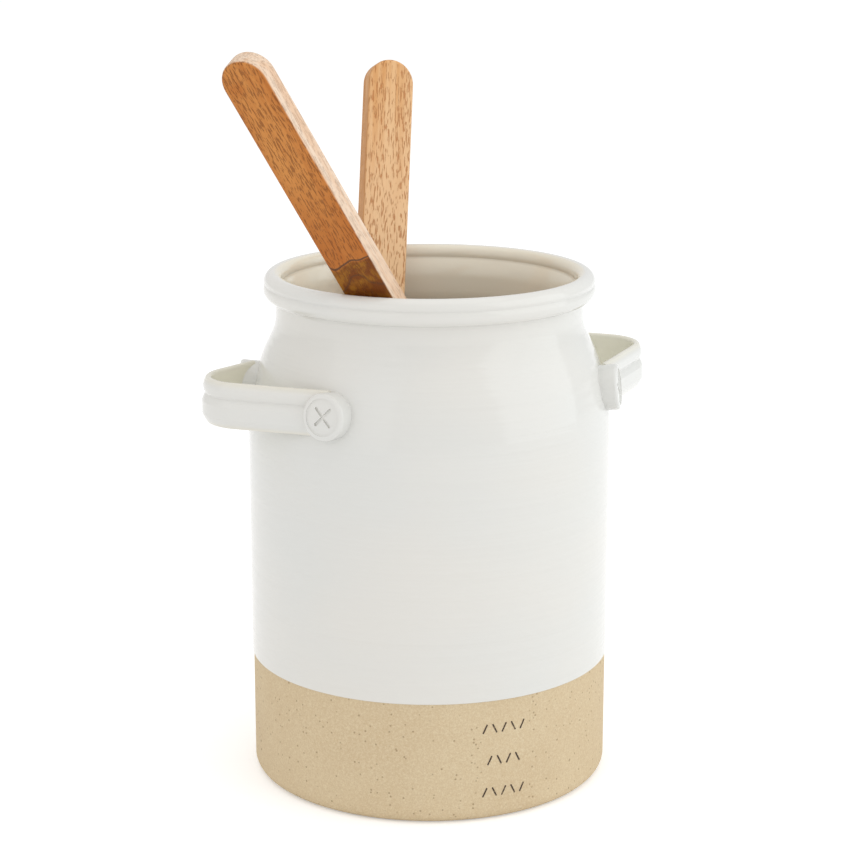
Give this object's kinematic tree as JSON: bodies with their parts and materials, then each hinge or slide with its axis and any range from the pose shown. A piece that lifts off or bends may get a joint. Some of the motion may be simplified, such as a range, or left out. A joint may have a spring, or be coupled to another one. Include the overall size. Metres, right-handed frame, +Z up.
{
  "type": "utensil crock",
  "caption": "Stoneware utensil crock with a glazed upper part, a rolled lip and two strap handles, holding a wooden spoon and a wooden spatula that lift out.",
  "frame": {"origin": "centre of the crock's flat base, on its axis", "axes": "+Z up along the crock's axis, +X towards the right handle, -Y towards the side with the row of small marks"},
  "size_m": [0.1699, 0.1363, 0.263],
  "materials": {
    "bare_stoneware": "matt",
    "white_glaze": "gloss",
    "spoon_wood": "oiled",
    "spatula_wood": "oiled"
  },
  "bodies": {
    "crock": {"stoneware_body": "bare_stoneware", "outer_glaze": "white_glaze", "liner_glaze": "white_glaze", "left_handle": "white_glaze", "right_handle": "white_glaze", "left_front_button": "white_glaze", "left_back_button": "white_glaze", "right_front_button": "white_glaze", "right_back_button": "white_glaze"},
    "spoon": {"wooden_spoon": "spoon_wood"},
    "spatula": {"wooden_spatula": "spatula_wood"}
  },
  "joints": [
    {"name": "spoon_lift", "type": "slide", "parent": "crock", "child": "spoon", "axis": [-0.1812, 0.1864, 0.9656], "range_m": [0, 0.13]},
    {"name": "spatula_lift", "type": "slide", "parent": "crock", "child": "spatula", "axis": [0.1864, 0.1812, 0.9656], "range_m": [0, 0.189]}
  ]
}
